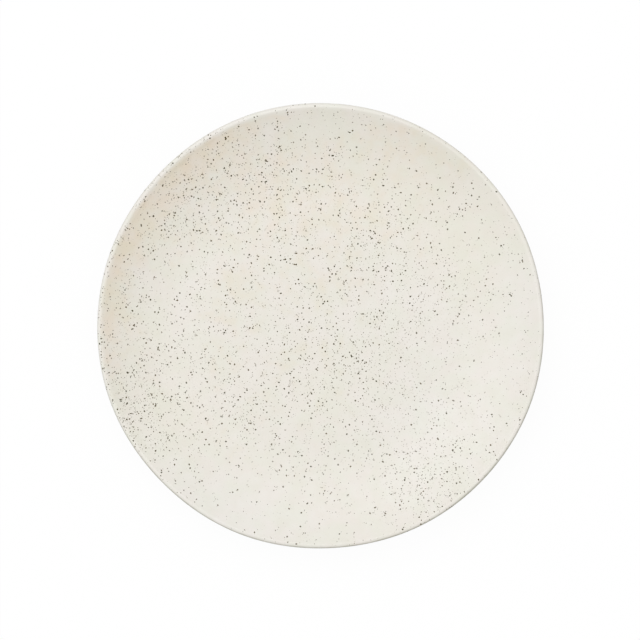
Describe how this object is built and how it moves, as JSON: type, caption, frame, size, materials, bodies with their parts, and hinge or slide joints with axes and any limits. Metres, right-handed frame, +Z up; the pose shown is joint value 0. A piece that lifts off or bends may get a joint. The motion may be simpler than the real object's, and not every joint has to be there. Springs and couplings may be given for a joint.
{
  "type": "coupe dinner plate",
  "caption": "Round rimless dinner plate of speckled stoneware, dished up to a rounded lip, with a satin off-white glaze and a bare foot ring.",
  "frame": {"origin": "centre of the plane that the foot ring rests on", "axes": "+Z up along the plate's axis of revolution, out of the dish; X and Y in the table's plane"},
  "size_m": [0.26, 0.26, 0.026],
  "materials": {
    "bare_clay": "matte",
    "speckled_glaze": "satin"
  },
  "bodies": {
    "root": {"stoneware_body": "bare_clay", "face_glaze": "speckled_glaze", "underside_glaze": "speckled_glaze", "foot_well_glaze": "speckled_glaze"}
  },
  "joints": []
}
